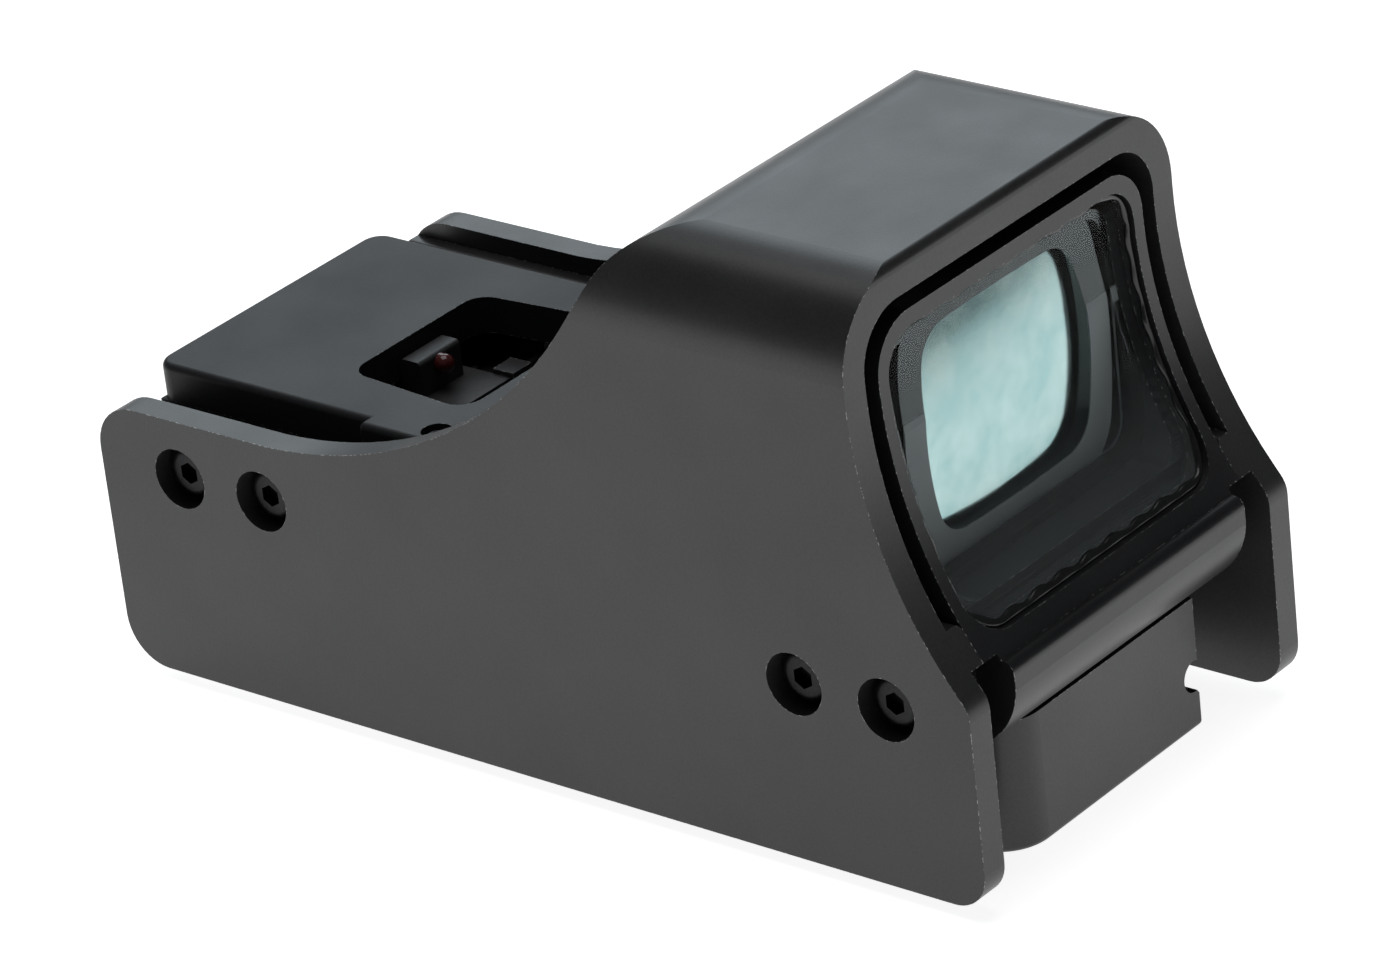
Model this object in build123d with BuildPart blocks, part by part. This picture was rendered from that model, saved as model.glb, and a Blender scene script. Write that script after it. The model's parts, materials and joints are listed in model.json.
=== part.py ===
from build123d import *
import math
import os

# Hooded red dot finder: an LED in the rear deck is mirrored to the eye by a coated lens under the hood.
# Millimetres. +Z is up, the window looks along -Y, the tail is at +Y, and X runs across.
# The origin is the centre of the footprint, on the underside of the foot.
# Side positions below are (y behind the hood's front edge, z above the hood's lower edge).

# Overall
width = 50.0
length = 104.3
hood_height = 58.5
foot_drop = 1.3
wall = 3.0
body_half = 20.1
gap = 0.05

front = -length / 2
base = foot_drop
half_width = width / 2
standing = (Align.CENTER, Align.CENTER, Align.MIN)
hanging = (Align.CENTER, Align.CENTER, Align.MAX)

# Hood outline
top_wall = 3.35
shoulder_radius = 8.5
inner_corner = 5.5
deck_line = 28.2
flat_top_end = 37.2
crest_radius = 9.0
tail_top_radius = 5.0
tail_low_radius = 4.8
toe_radius = 3.75
brow_radius = 1.0
scallop_radius = 51.0
scallop_end = 82.0

# Front curve of the rim: upright at the top, a concave arc, then a straight slope down to the toe
rim_setback = 10.5
rim_arc_radius = 44.0
rim_arc_top = 49.0
rim_arc_bottom = 22.0
rim_toe_radius = 3.0

# Inner bands that the hood screws clamp
band_bottom = 13.5
band_top = 26.2
band_corner = 0.8
band_chamfer = 0.6

# Recess beside each end of the nose
cheek_depth = 4.4
cheek_margin = 0.6

# Screws: (shank radius, head radius, head height, hexagon across flats)
m3_button = (1.5, 2.85, 1.65, 2.0)
m3_cap = (1.5, 2.75, 2.0, 2.5)
m2_cap = (1.0, 1.8, 1.4, 1.5)
small_pan = (0.8, 1.5, 0.9, 1.0)
elevation_kind = (1.0, 1.5, 1.5, 1.3)
windage_kind = (0.8, 1.8, 1.4, 1.3)
counterbore_radius = 3.15
counterbore_depth = 3.0
side_screws = ((9.4, 18.4), (19.8, 18.4), (83.6, 22.0), (94.1, 22.0))
side_screw_length = 6.0
housing_screw_spots = ((-12.0, 19.0), (12.0, 19.0))
housing_screw_length = 12.0
housing_head_depth = 3.0
deck_screw_length = 11.0
foot_screw_length = 16.5
foot_head_level = 2.3

# Window frame
frame_top = 53.5
frame_corner = 5.0
window_half = 17.15
window_bottom = 25.3
window_top = 50.3
window_corner = 3.0
pane_overlap = 1.15
pane_thickness = 1.5
pane_recess = 0.7
pane_back = pane_recess + pane_thickness
bead_width = 0.4
bead_rise = 0.3

# Nose bar
nose_half = 18.1
nose_shelf = 22.1
nose_widest = 19.4
nose_bottom = 13.5
nose_under = 3.4
nose_belly = 0.85
nose_corner = 1.2

# Lens cell and lens
housing_back = 27.0
tube_back = 23.0
cell_front = 10.8
cell_wall = 0.9
ring_front = 12.1
web_front = 13.6
lens_front = 13.1
lens_thickness = 2.4
lens_curve = 90.0
lens_height = 38.6
aperture_half = 10.7
aperture_rise = 10.2
aperture_bulge = 1.8
aperture_corner = 4.0
ring_width = 3.1
lens_seat = 0.8
retainer_front = 17.4

# Body
body_end = 103.6
body_top = 24.5
body_floor = 15.0
cavity_front = 36.0
cavity_split = 76.0
cavity_back = 100.0
front_cavity_half = 15.2
rear_cavity_half = 13.0
bay_roof = 19.3

# Deck
gasket_thickness = 0.4
deck_top = 28.8
deck_half = 16.7
deck_shoulder_half = 18.0
deck_shoulder_end = 76.5
deck_end = 104.0
deck_corner = 2.2
deck_step_corner = 0.7
deck_edge = 0.7
well_front = 68.9
well_back = 84.6
well_front_half = 11.0
well_back_half = 9.6
well_corner = 2.4
deck_screw_spots = ((-14.2, 31.5), (14.2, 31.5), (-14.4, 89.0), (14.4, 89.0))

# Battery tray
bay_half = 11.5
bay_bottom = 14.4
bay_top = 18.5
bay_front = 79.5
tray_front = 80.3
tray_floor = 0.6
tray_mouth = (-8.0, 8.0)
tray_slot = (-2.0, 2.0)
grip_x = (-4.0, 4.0)
grip_depth = 0.6
grip_inset = 1.2
low_contact = (-1.0, 1.0)
high_contact = (3.0, 5.0)
cell_radius = 10.0
cell_height = 3.2
cell_y = 91.5

# Foot
foot_half = 14.7
foot_front = 4.3
foot_back = 72.0
foot_top = 12.2
foot_pad_half = 11.0
foot_pad_front = 10.0
foot_corner = 5.0
groove_height = 4.2
groove_radius = 1.6
groove_inset = 0.6
lip_edge = 1.1
lip_drop = 0.8
foot_edge = 0.6
foot_screw_spots = ((-8.0, 14.0), (8.0, 14.0), (-8.0, 61.5), (8.0, 61.5))

# Aiming gear
elevation_x = -15.7
elevation_y = 68.4
platform_bottom = 19.9
platform_thickness = 1.0
platform_half = 12.3
platform_front = 67.0
platform_back = 84.9
boss_radius = 2.0
boss_height = 3.5
elevation_sink = 1.9
elevation_tip = 16.5
clip_thickness = 0.5
clip_radius = 1.9
arm_half = 1.6
guide_spots = ((10.0, 70.5), (-7.5, 72.5))
guide_radius = 1.0
guide_length = 9.0
lift_spring_radii = (2.2, 1.3)
push_spring_radii = (1.2, 0.7)
key_spring_radii = (2.15, 1.75)
windage_y = 77.8
windage_height = 22.8
windage_sink = 1.7
windage_access = 2.2
block_half = 4.5
block_front = 76.9
block_back = 84.2
block_top = 23.6
tower_front = 81.6
tower_top = 27.4
tower_half = 3.0
led_radius = 1.0
led_height = 26.2
nut_length = 2.8
nut_half = 1.3
rail_half = 8.0
rail_wall = 0.5
rail_height = 0.8
rail_thickness = 1.0
spring_seat = -8.4

# Circuit board
board_front = 38.0
board_back = 57.5
board_half = 13.0
board_height = 16.2
board_thickness = 1.2
large_chip = ((-4.0, 4.0), (44.0, 52.0), 1.2)
small_chip = ((6.0, 9.0), (45.0, 50.0), 0.8)
inductor = ((-9.5, -6.5), (43.0, 46.0), 1.6)
chips = (large_chip, small_chip, inductor)
standoff_radius = 1.7
foot_boss_radius = 3.0
foot_boss_height = 4.4
standoff_spots = ((-10.8, 40.3), (10.8, 40.3), (-10.8, 55.2), (10.8, 55.2))

# Buttons in the tail
button_x = 7.0
button_height = 22.0
button_length = 8.0
button_width = 3.0
button_flange = 0.5
button_back = 99.2
button_face = 104.1
switch_board_front = 96.4
switch_board_back = 97.4
switch_face = 98.2
switch_board_half = 11.5
switch_half = 1.2
button_stem_radius = 0.8
button_stem_length = 0.35


def side(y, z):
    """Side-view point in a YZ sketch."""
    return (front + y, base + z)


def spot(x, y):
    """Plan-view point in an XY sketch."""
    return (x, front + y)


def level(z):
    """Horizontal plane at height z."""
    return Plane.XY.offset(base + z)


def station(y):
    """Upright plane across the finder; extruding by a negative amount goes towards the tail."""
    return Plane.XZ.offset(-(front + y))


def corner(sketch, y, z):
    """The corner of a side-view sketch closest to a side-view point."""
    return sketch.vertices().sort_by_distance(Vector(front + y, base + z))[0]


def rim_point(z, inset):
    """Point beside the rim arc at height z on the arc, moved inwards along the arc's radius."""
    angle = math.asin((rim_arc_top - z) / rim_arc_radius)
    reach = rim_arc_radius + inset
    centre_y = rim_setback - rim_arc_radius
    return side(centre_y + reach * math.cos(angle), rim_arc_top - reach * math.sin(angle))


def slope_foot():
    """Height at which the straight slope under the rim arc reaches the toe line."""
    angle = math.asin((rim_arc_top - rim_arc_bottom) / rim_arc_radius)
    arc_end_y = rim_setback - rim_arc_radius * (1 - math.cos(angle))
    return rim_arc_bottom - arc_end_y / math.tan(angle)


def rim_strip(outer, inner, half):
    """Curved plate between two insets of the rim curve, across the whole window."""
    low = rim_arc_bottom
    middle = (rim_arc_bottom + rim_arc_top) / 2
    outer_low = rim_point(low, outer)
    outer_high = rim_point(rim_arc_top, outer)
    inner_low = rim_point(low, inner)
    inner_high = rim_point(rim_arc_top, inner)
    ceiling = base + frame_top
    with BuildPart() as strip:
        with BuildSketch(Plane.YZ):
            with BuildLine():
                ThreePointArc(outer_low, rim_point(middle, outer), outer_high)
                Polyline(outer_high, (outer_high[0], ceiling), (inner_high[0], ceiling), inner_high)
                ThreePointArc(inner_high, rim_point(middle, inner), inner_low)
                Line(inner_low, outer_low)
            make_face()
        extrude(amount=half, both=True)
    return strip.part


def window_block(margin, y_start, y_end):
    """Rounded rectangular bar through the window opening, grown by a margin on every side."""
    centre_z = base + (window_bottom + window_top) / 2
    high = window_top - window_bottom + 2 * margin
    with BuildPart() as block:
        with BuildSketch(station(y_start)):
            with Locations((0, centre_z)):
                RectangleRounded(2 * (window_half + margin), high, window_corner + margin * 0.6)
        extrude(amount=y_start - y_end)
    return block.part


def lens_block(margin, y_start, y_end):
    """Bar with the bulged outline of the lens aperture, grown by a margin on every side."""
    x = aperture_half + margin
    z = aperture_rise + margin
    bow = aperture_bulge
    with BuildPart() as block:
        with BuildSketch(station(y_start)) as outline:
            with BuildLine(Location((0, base + lens_height))):
                ThreePointArc((-x, -z), (0, -z - 0.3), (x, -z))
                ThreePointArc((x, -z), (x + bow, 0), (x, z))
                ThreePointArc((x, z), (0, z + 0.3), (-x, z))
                ThreePointArc((-x, z), (-x - bow, 0), (-x, -z))
            make_face()
            fillet(outline.vertices(), radius=aperture_corner + margin * 0.5)
        extrude(amount=y_start - y_end)
    return block.part


def make_screw(kind, shank_length):
    """Screw on the Z axis: domed head above the origin, shank below, hexagon socket in the head."""
    shank_radius, head_radius, head_height, across_flats = kind
    shoulder = (head_radius, head_height * 0.35)
    crown = (head_radius * 0.6, head_height)
    with BuildPart() as screw:
        with BuildSketch(Plane.XZ):
            with BuildLine():
                Polyline((0, head_height), (0, -shank_length), (shank_radius, -shank_length))
                Polyline((shank_radius, -shank_length), (shank_radius, 0), (head_radius, 0), shoulder)
                TangentArc(shoulder, crown, tangent=(0, 1))
                Line(crown, (0, head_height))
            make_face()
        revolve(axis=Axis.Z)
        with BuildSketch(Plane.XY.offset(head_height)):
            RegularPolygon(radius=across_flats / 2, side_count=6, major_radius=False)
        extrude(amount=-head_height * 0.7, mode=Mode.SUBTRACT)
    return screw.part


def make_tube(outer_radius, inner_radius, height):
    """Tube standing on the origin."""
    with BuildPart() as tube:
        with BuildSketch():
            Circle(outer_radius)
            Circle(inner_radius, mode=Mode.SUBTRACT)
        extrude(amount=height)
    return tube.part


def upright(x, y, z):
    """Location with its own Z along the finder's Z."""
    return Location((x, front + y, base + z))


def facing_left(x, y, z):
    """Location with its own Z along -X."""
    return Location((x, front + y, base + z), (0, -90, 0))


def facing_right(x, y, z):
    """Location with its own Z along +X."""
    return Location((x, front + y, base + z), (0, 90, 0))


def facing_down(x, y, z):
    """Location with its own Z along -Z."""
    return Location((x, front + y, base + z), (180, 0, 0))


def facing_tail(x, y, z):
    """Location with its own Z along +Y."""
    return Location((x, front + y, base + z), (-90, 0, 0))


def box_between(x, y, z, mode=Mode.ADD):
    """Box between low and high limits on each axis, each given as a pair."""
    low = Align.MIN
    with Locations((x[0], front + y[0], base + z[0])):
        Box(x[1] - x[0], y[1] - y[0], z[1] - z[0], align=(low, low, low), mode=mode)


def bore(location, radius, depth):
    """Round hole that starts at a location and runs against its own Z."""
    with Locations(location):
        Cylinder(radius, depth, align=hanging, mode=Mode.SUBTRACT)


def save(builder, name):
    """Label a finished piece and write its file."""
    builder.part.label = name
    export_step(builder.part, f"parts/{name}.step")


os.makedirs("parts", exist_ok=True)
cheek_heights = (nose_bottom - 1, nose_shelf + cheek_margin)


# Hood: a block with round shoulders, cut to the side profile, then hollowed into an arch
band_width = 2 * (half_width - wall / 2 - body_half)
with BuildPart() as hood:
    with BuildSketch(station(0)) as hood_front:
        with Locations((0, base)):
            Rectangle(width, hood_height, align=(Align.CENTER, Align.MIN))
        fillet(hood_front.vertices().group_by(Axis.Y)[-1], radius=shoulder_radius)
    extrude(amount=-length)
    with BuildSketch(Plane.YZ) as hood_side:
        with BuildLine():
            arc_low = rim_point(rim_arc_bottom, 0)
            arc_high = side(rim_setback, rim_arc_top)
            shelf = side(flat_top_end, hood_height)
            scallop_low = side(scallop_end, deck_line)
            ThreePointArc(arc_low, rim_point((rim_arc_bottom + rim_arc_top) / 2, 0), arc_high)
            Polyline(arc_high, side(rim_setback, hood_height), shelf)
            RadiusArc(shelf, scallop_low, -scallop_radius)
            Polyline(scallop_low, side(length, deck_line), side(length, 0), side(0, 0))
            Polyline(side(0, 0), side(0, slope_foot()), arc_low)
        make_face()
        fillet(corner(hood_side, rim_setback, hood_height), radius=brow_radius)
        fillet(corner(hood_side, flat_top_end, hood_height), radius=crest_radius)
        fillet(corner(hood_side, length, deck_line), radius=tail_top_radius)
        fillet(corner(hood_side, length, 0), radius=tail_low_radius)
        fillet(corner(hood_side, 0, 0), radius=toe_radius)
        fillet(corner(hood_side, 0, slope_foot()), radius=rim_toe_radius)
    extrude(amount=half_width, both=True, mode=Mode.INTERSECT)
    with BuildSketch(station(0)) as hollow:
        with Locations((0, base)):
            Rectangle(2 * (half_width - wall), hood_height - top_wall, align=(Align.CENTER, Align.MIN))
        fillet(hollow.vertices().group_by(Axis.Y)[-1], radius=inner_corner)
        for sign in (-1, 1):
            with Locations((sign * (half_width - wall / 2), base + (band_bottom + band_top) / 2)):
                Rectangle(band_width, band_top - band_bottom, mode=Mode.SUBTRACT)
            step = hollow.vertices().sort_by_distance(Vector(sign * body_half, base + band_top))[0]
            fillet(step, radius=band_corner)
            ledge = hollow.vertices().sort_by_distance(Vector(sign * body_half, base + band_bottom))[0]
            chamfer(ledge, length=band_chamfer)
    extrude(amount=-length, mode=Mode.SUBTRACT)
    for sign in (-1, 1):
        cheek = sorted((sign * nose_half, sign * (half_width - wall)))
        box_between(cheek, (-1, cheek_depth), cheek_heights, mode=Mode.SUBTRACT)
    for y, z in side_screws:
        bore(facing_left(-half_width, y, z), counterbore_radius, counterbore_depth)
        bore(facing_right(half_width, y, z), counterbore_radius, counterbore_depth)
        bore(facing_left(-half_width, y, z), m3_button[0] + gap, 2 * wall)
        bore(facing_right(half_width, y, z), m3_button[0] + gap, 2 * wall)
    bore(facing_right(half_width, windage_y, windage_height), windage_access, 2 * wall)
save(hood, "hood")

# Screws that hold the hood's sides to the housing and the body
button_screw = make_screw(m3_button, side_screw_length)
screw_seat = half_width - counterbore_depth
with BuildPart() as hood_screws_left:
    with Locations([facing_left(-screw_seat, y, z) for y, z in side_screws]):
        add(button_screw)
save(hood_screws_left, "hood_screws_left")

with BuildPart() as hood_screws_right:
    with Locations([facing_right(screw_seat, y, z) for y, z in side_screws]):
        add(button_screw)
save(hood_screws_right, "hood_screws_right")

# Optic housing: window frame, sloping ledge, nose bar and the block under the window
ahead_of_pane = rim_strip(-9, pane_back, half_width)
pane_recess_block = window_block(pane_overlap + bead_width, -5, tube_back) & ahead_of_pane
with BuildPart() as optic_housing:
    with BuildSketch(Plane.YZ) as housing_side:
        with BuildLine():
            ledge_point = rim_point(nose_shelf, 0)
            arc_high = side(rim_setback, rim_arc_top)
            belly = side(nose_belly, (nose_widest + nose_bottom) / 2)
            block_step = side(tube_back, body_top)
            ThreePointArc(ledge_point, rim_point(36, 0), arc_high)
            Polyline(arc_high, side(rim_setback, frame_top), side(tube_back, frame_top), block_step)
            Polyline(block_step, side(housing_back, body_top), side(housing_back, nose_bottom))
            Line(side(housing_back, nose_bottom), side(nose_under, nose_bottom))
            ThreePointArc(side(nose_under, nose_bottom), belly, side(0, nose_widest))
            Polyline(side(0, nose_widest), side(0, nose_shelf), ledge_point)
        make_face()
        fillet(corner(housing_side, 0, nose_shelf), radius=nose_corner)
    extrude(amount=body_half, both=True)
    with BuildSketch(station(0)) as housing_front:
        with Locations((0, base)):
            Rectangle(2 * body_half, frame_top, align=(Align.CENTER, Align.MIN))
        fillet(housing_front.vertices().group_by(Axis.Y)[-1], radius=frame_corner)
    extrude(amount=-housing_back, mode=Mode.INTERSECT)
    for sign in (-1, 1):
        cheek = sorted((sign * nose_half, sign * (body_half + 1)))
        box_between(cheek, (-1, cheek_depth), cheek_heights, mode=Mode.SUBTRACT)
    add(window_block(0, 0, tube_back), mode=Mode.SUBTRACT)
    add(pane_recess_block, mode=Mode.SUBTRACT)
    for y, z in side_screws[:2]:
        bore(facing_left(-body_half, y, z), m3_button[0] + gap, side_screw_length)
        bore(facing_right(body_half, y, z), m3_button[0] + gap, side_screw_length)
    for x, y in foot_screw_spots[:2]:
        bore(upright(x, y, nose_bottom + 8), m3_cap[0] + gap, 9)
    for x, z in housing_screw_spots:
        bore(facing_tail(x, housing_back, z), m2_cap[0] + gap, 7)
save(optic_housing, "optic_housing")

# Front window: one curved pane that follows the rim, with its bead of sealant
with BuildPart() as front_window:
    add(window_block(pane_overlap, -5, tube_back))
    add(rim_strip(pane_recess, pane_back, half_width), mode=Mode.INTERSECT)
save(front_window, "front_window")

with BuildPart() as window_seal:
    add(window_block(pane_overlap + bead_width, -5, tube_back))
    add(rim_strip(pane_recess - bead_rise, pane_back, half_width), mode=Mode.INTERSECT)
    add(window_block(pane_overlap, -6, tube_back + 1), mode=Mode.SUBTRACT)
save(window_seal, "window_seal")

# Lens cell: sleeve in the housing with a web and a raised ring round the aperture
aperture_ring = lens_block(ring_width, ring_front, web_front) & window_block(-gap, ring_front, web_front)
with BuildPart() as lens_cell:
    add(window_block(-gap, cell_front, tube_back))
    add(window_block(-cell_wall, cell_front - 1, web_front), mode=Mode.SUBTRACT)
    add(aperture_ring)
    add(lens_block(0, ring_front - 1, tube_back + 1), mode=Mode.SUBTRACT)
    add(lens_block(lens_seat + gap, lens_front, tube_back + 1), mode=Mode.SUBTRACT)
    add(rim_strip(-9, pane_back + 0.1, half_width), mode=Mode.SUBTRACT)
save(lens_cell, "lens_cell")

with BuildPart() as lens_cell_seal:
    add(window_block(0, cell_front - 0.7, cell_front))
    add(window_block(-0.7, cell_front - 2, cell_front + 1), mode=Mode.SUBTRACT)
    add(rim_strip(-9, pane_back + 0.1, half_width), mode=Mode.SUBTRACT)
save(lens_cell_seal, "lens_cell_seal")

# Reflex lens: a meniscus bulging forwards, coated on its hollow side
with BuildPart() as reflex_lens:
    add(lens_block(lens_seat, lens_front - 1, tube_back))
    with Locations(upright(0, lens_front + lens_curve, lens_height)):
        Sphere(lens_curve, mode=Mode.INTERSECT)
    with Locations(upright(0, lens_front + lens_curve, lens_height)):
        Sphere(lens_curve - lens_thickness, mode=Mode.SUBTRACT)
save(reflex_lens, "reflex_lens")

with BuildPart() as lens_retainer:
    add(lens_block(lens_seat, retainer_front, tube_back))
    add(lens_block(-0.6, retainer_front - 1, tube_back + 1), mode=Mode.SUBTRACT)
save(lens_retainer, "lens_retainer")

# Body: the low block between the plates, hollow from above, with a battery bay open at the tail
windage_wall = body_half - rear_cavity_half
with BuildPart() as main_body:
    box_between((-body_half, body_half), (housing_back, body_end), (nose_bottom, body_top))
    box_between(
        (-front_cavity_half, front_cavity_half), (cavity_front, cavity_split), (body_floor, body_top + 1),
        mode=Mode.SUBTRACT,
    )
    box_between(
        (-rear_cavity_half, rear_cavity_half), (cavity_split - 1, cavity_back), (bay_roof, body_top + 1),
        mode=Mode.SUBTRACT,
    )
    bore(upright(elevation_x, elevation_y, body_top), boss_radius + 0.3, body_top - body_floor)
    box_between((-bay_half, bay_half), (bay_front, body_end + 1), (bay_bottom, bay_top), mode=Mode.SUBTRACT)
    for sign in (-1, 1):
        with BuildSketch(station(body_end)):
            with Locations((sign * button_x, base + button_height)):
                SlotOverall(button_length + 2 * gap, button_width + 2 * gap)
        extrude(amount=body_end - cavity_back + 1, both=True, mode=Mode.SUBTRACT)
    for x, y in standoff_spots:
        with Locations(upright(x, y, body_floor)):
            Cylinder(standoff_radius, board_height - body_floor, align=standing)
    for x, y in foot_screw_spots[2:]:
        with Locations(upright(x, y, body_floor)):
            Cylinder(foot_boss_radius, foot_boss_height, align=standing)
        bore(upright(x, y, body_floor + foot_boss_height - 0.5), m3_cap[0] + gap, 6)
    for x, y in standoff_spots:
        bore(upright(x, y, board_height), small_pan[0], board_height - body_floor + 0.6)
    for x, y in guide_spots:
        bore(upright(x, y, body_floor), guide_radius, 1.0)
    for y, z in side_screws[2:]:
        bore(facing_left(-body_half, y, z), m3_button[0] + gap, side_screw_length)
        bore(facing_right(body_half, y, z), m3_button[0] + gap, side_screw_length)
    for x, y in deck_screw_spots:
        bore(upright(x, y, body_top), m2_cap[0] + gap, body_top - nose_bottom)
        bore(upright(x, y, nose_bottom + 2), m2_cap[1] + gap, 2)
    for x, z in housing_screw_spots:
        bore(facing_tail(x, cavity_front, z), m2_cap[0] + gap, cavity_front - housing_back)
        bore(facing_tail(x, cavity_front, z), m2_cap[1] + gap, housing_head_depth)
    bore(facing_right(body_half, windage_y, windage_height), windage_kind[0] + gap, windage_wall + 1)
    bore(facing_right(body_half, windage_y, windage_height), windage_kind[1] + 2 * gap, windage_sink + 0.1)
save(main_body, "main_body")

# Deck: the slab on the body, with shoulders under the hood and the emitter well
deck_bottom = body_top + gasket_thickness
with BuildPart() as deck_cover:
    with BuildSketch(level(deck_bottom)) as deck_plan:
        with BuildLine():
            Polyline(
                spot(-deck_shoulder_half, housing_back + gap),
                spot(deck_shoulder_half, housing_back + gap),
                spot(deck_shoulder_half, deck_shoulder_end),
                spot(deck_half, deck_shoulder_end),
                spot(deck_half, deck_end),
                spot(-deck_half, deck_end),
                spot(-deck_half, deck_shoulder_end),
                spot(-deck_shoulder_half, deck_shoulder_end),
                close=True,
            )
        make_face()
        fillet(deck_plan.vertices().group_by(Axis.Y)[-1], radius=deck_corner)
        for sign in (-1, 1):
            outer_step = Vector(sign * deck_shoulder_half, front + deck_shoulder_end)
            fillet(deck_plan.vertices().sort_by_distance(outer_step)[0], radius=deck_step_corner)
    extrude(amount=deck_top - deck_bottom)
    top_rim = deck_cover.faces().sort_by(Axis.Z)[-1].edges()
    fillet(top_rim, radius=deck_edge)
    with BuildSketch(level(deck_bottom)) as well_plan:
        with BuildLine():
            Polyline(
                spot(-well_front_half, well_front),
                spot(well_front_half, well_front),
                spot(well_back_half, well_back),
                spot(-well_back_half, well_back),
                close=True,
            )
        make_face()
        fillet(well_plan.vertices(), radius=well_corner)
    extrude(amount=deck_top - deck_bottom, mode=Mode.SUBTRACT)
    for x, y in deck_screw_spots:
        bore(upright(x, y, deck_line - 1), m2_cap[0] + gap, deck_line - deck_bottom)
    bore(upright(elevation_x, elevation_y, deck_top), elevation_kind[0] + gap, deck_top - deck_bottom)
    bore(upright(elevation_x, elevation_y, deck_top), elevation_kind[1] + gap, elevation_sink + 0.1)
save(deck_cover, "deck_cover")

with BuildPart() as deck_gasket:
    with BuildSketch(level(body_top)):
        with Locations(spot(0, (housing_back + deck_shoulder_end) / 2)):
            Rectangle(2 * deck_shoulder_half, deck_shoulder_end - housing_back)
        with Locations(spot(0, (deck_shoulder_end + body_end) / 2)):
            Rectangle(2 * deck_half, body_end - deck_shoulder_end)
        with Locations(spot(0, (cavity_front + cavity_split) / 2)):
            Rectangle(2 * front_cavity_half, cavity_split - cavity_front, mode=Mode.SUBTRACT)
        with Locations(spot(0, (cavity_split + cavity_back) / 2)):
            Rectangle(2 * rear_cavity_half, cavity_back - cavity_split + 2, mode=Mode.SUBTRACT)
        with Locations([spot(x, y) for x, y in deck_screw_spots]):
            Circle(m2_cap[0] + gap, mode=Mode.SUBTRACT)
        with Locations(spot(elevation_x, elevation_y)):
            Circle(boss_radius, mode=Mode.SUBTRACT)
    extrude(amount=gasket_thickness)
save(deck_gasket, "deck_gasket")

# Small fixed screws
with BuildPart() as deck_screws:
    deck_screw = make_screw(m2_cap, deck_screw_length)
    with Locations([facing_down(x, y, nose_bottom + 2) for x, y in deck_screw_spots]):
        add(deck_screw)
save(deck_screws, "deck_screws")

with BuildPart() as housing_screws:
    housing_screw = make_screw(m2_cap, housing_screw_length)
    with Locations([facing_tail(x, cavity_front - housing_head_depth, z) for x, z in housing_screw_spots]):
        add(housing_screw)
save(housing_screws, "housing_screws")

with BuildPart() as foot_screws:
    foot_screw = make_screw(m3_cap, foot_screw_length)
    with Locations([facing_down(x, y, foot_head_level) for x, y in foot_screw_spots]):
        add(foot_screw)
save(foot_screws, "foot_screws")

# Foot: block under the body with a round groove along each side; the left one starts behind the corner
groove_starts = ((1, foot_front), (-1, foot_front + foot_corner))
with BuildPart() as mount_foot:
    with BuildSketch(level(-foot_drop)) as foot_plan:
        with Locations(spot(0, (foot_front + foot_back) / 2)):
            Rectangle(2 * foot_half, foot_back - foot_front)
        near_left = foot_plan.vertices().sort_by_distance(Vector(-foot_half, front + foot_front))[0]
        fillet(near_left, radius=foot_corner)
    extrude(amount=foot_top + foot_drop)
    fillet(mount_foot.edges().group_by(Axis.Z)[0], radius=foot_edge)
    box_between((-foot_pad_half, foot_pad_half), (foot_pad_front, foot_back), (foot_top, nose_bottom))
    for sign, groove_start in groove_starts:
        with BuildSketch(station(groove_start)):
            with Locations((sign * (foot_half - groove_inset), base + groove_height)):
                Circle(groove_radius)
            with Locations((sign * (foot_half + lip_edge), base + groove_height - lip_drop)):
                Circle(groove_radius)
        extrude(amount=groove_start - foot_back, mode=Mode.SUBTRACT)
    for x, y in foot_screw_spots:
        bore(upright(x, y, nose_bottom), m3_cap[0] + gap, nose_bottom + foot_drop)
        bore(upright(x, y, foot_head_level), m3_cap[1] + 4 * gap, foot_head_level + foot_drop)
save(mount_foot, "mount_foot")

# Elevation: the screw turns in the deck and lifts the emitter carriage on its thread
nut_start = block_half + 0.03
with BuildPart() as elevation_screw:
    with Locations(upright(elevation_x, elevation_y, deck_top - elevation_sink)):
        add(make_screw(elevation_kind, deck_top - elevation_sink - elevation_tip))
save(elevation_screw, "elevation_screw")

with BuildPart() as elevation_clip:
    with Locations(upright(elevation_x, elevation_y, deck_bottom - clip_thickness - gap)):
        add(make_tube(clip_radius, elevation_kind[0], clip_thickness))
save(elevation_clip, "elevation_clip")

platform_top = platform_bottom + platform_thickness
rail_heights = (platform_top, platform_top + rail_height)
spring_post = (spring_seat - rail_thickness, spring_seat)
post_heights = (platform_top, windage_height + nut_half)
front_rail = (block_front - gap - rail_wall, block_front - gap)
back_rail = (block_back + gap, block_back + gap + rail_wall)
with BuildPart() as elevation_carriage:
    plate = (platform_bottom, platform_top)
    box_between((-platform_half, platform_half), (platform_front, platform_back), plate)
    box_between((elevation_x, -platform_half), (elevation_y - arm_half, elevation_y + arm_half), plate)
    with Locations(upright(elevation_x, elevation_y, platform_bottom)):
        Cylinder(boss_radius, boss_height, align=standing)
    box_between((-rail_half, nut_start - 0.7), front_rail, rail_heights)
    box_between((-rail_half, rail_half), back_rail, rail_heights)
    box_between(spring_post, (windage_y - arm_half, windage_y + arm_half), post_heights)
    bore(upright(elevation_x, elevation_y, platform_bottom + 4), elevation_kind[0] + gap, 5)
    for x, y in guide_spots:
        bore(upright(x, y, platform_top), guide_radius + gap, platform_thickness)
save(elevation_carriage, "elevation_carriage")

with BuildPart() as guide_pins:
    for x, y in guide_spots:
        with Locations(upright(x, y, body_floor - 1.0)):
            Cylinder(guide_radius, guide_length, align=standing)
save(guide_pins, "guide_pins")

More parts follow.
